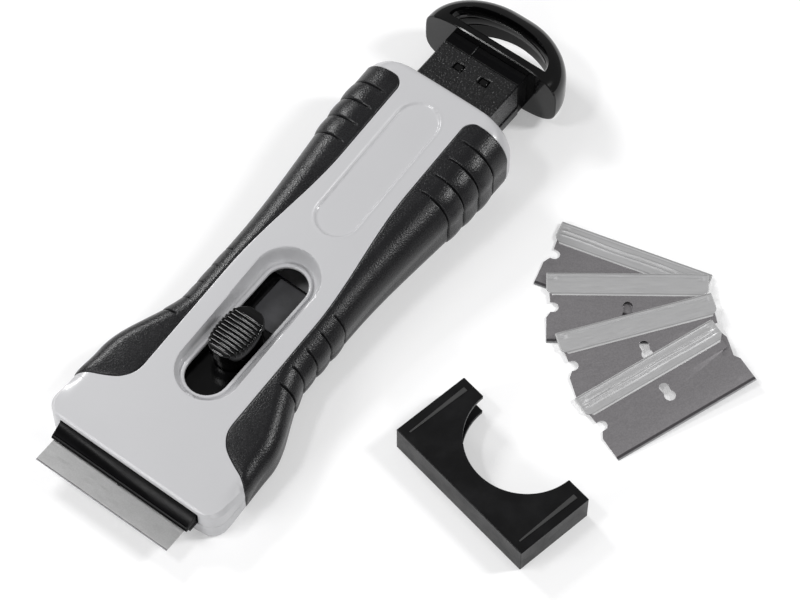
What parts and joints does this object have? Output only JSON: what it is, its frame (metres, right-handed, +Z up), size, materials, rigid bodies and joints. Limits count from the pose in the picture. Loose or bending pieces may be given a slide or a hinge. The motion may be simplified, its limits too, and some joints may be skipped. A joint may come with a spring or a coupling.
{
  "type": "ceramic hob scraper",
  "caption": "Hand scraper for ceramic hobs: sliding blade carriage locked by a thumb button, soft side grips, pull-out blade magazine with hanging loop, blade guard and spare blades.",
  "frame": {"origin": "on the flat underside of the handle, on its centreline, halfway between the mouth and the rear edge", "axes": "+Z up, +Y along the handle towards the hanging loop, -Y towards the blade, +X to the side of the guard and the spare blades"},
  "size_m": [0.1259, 0.1655, 0.0218],
  "materials": {
    "shell": "satin light grey",
    "grip": "soft fine-grained black",
    "black_gloss": "polished black",
    "black_matte": "grained black",
    "guard_black": "satin black",
    "dark_plate": "satin dark grey",
    "blade_steel": "ground steel",
    "back_metal": "rolled, satin",
    "spring_steel": "rolled",
    "screw_steel": "zinc plated"
  },
  "bodies": {
    "handle": {"top_shell": "shell", "bottom_shell": "shell", "left_grip": "grip", "right_grip": "grip", "shell_screws": "screw_steel"},
    "carriage": {"blade_carrier": "black_gloss", "blade_clamp": "black_gloss", "clamp_pin": "screw_steel", "slide_cover": "dark_plate", "cover_screws": "screw_steel", "lock_spring": "spring_steel", "scraper_blade": "blade_steel", "scraper_blade_back": "back_metal"},
    "button": {"slider_button": "black_gloss"},
    "magazine": {"magazine_cover": "black_matte", "magazine_tray": "black_matte", "hanging_loop": "black_gloss"},
    "guard": {"blade_guard": "guard_black"},
    "spare_1": {"spare_blade_1": "blade_steel", "spare_blade_back_1": "back_metal"},
    "spare_2": {"spare_blade_2": "blade_steel", "spare_blade_back_2": "back_metal"},
    "spare_3": {"spare_blade_3": "blade_steel", "spare_blade_back_3": "back_metal"},
    "spare_4": {"spare_blade_4": "blade_steel", "spare_blade_back_4": "back_metal"}
  },
  "joints": [
    {"name": "blade_slide", "type": "slide", "parent": "handle", "child": "carriage", "axis": [0, -1, 0], "range_m": [-0.015, 0.007], "deforming": ["lock_spring"]},
    {"name": "button_press", "type": "slide", "parent": "carriage", "child": "button", "axis": [0, 0, -1], "range_m": [0, 0.0008], "stiffness_N_per_m": 1000, "springref_m": -0.0003, "deforming": ["lock_spring"]},
    {"name": "magazine_slide", "type": "slide", "parent": "handle", "child": "magazine", "axis": [0, 1, 0], "range_m": [-0.0175, 0.0224]},
    {"name": "guard_lift", "type": "slide", "parent": "handle", "child": "guard", "axis": [0, 0, 1], "range_m": [0, 0.03]},
    {"name": "spare_1_lift", "type": "slide", "parent": "handle", "child": "spare_1", "axis": [0, 0, 1], "range_m": [0, 0.02]},
    {"name": "spare_2_lift", "type": "slide", "parent": "spare_1", "child": "spare_2", "axis": [0, 0, 1], "range_m": [0, 0.02]},
    {"name": "spare_3_lift", "type": "slide", "parent": "spare_2", "child": "spare_3", "axis": [0, 0, 1], "range_m": [0, 0.02]},
    {"name": "spare_4_lift", "type": "slide", "parent": "spare_3", "child": "spare_4", "axis": [0, 0, 1], "range_m": [0, 0.02]}
  ]
}
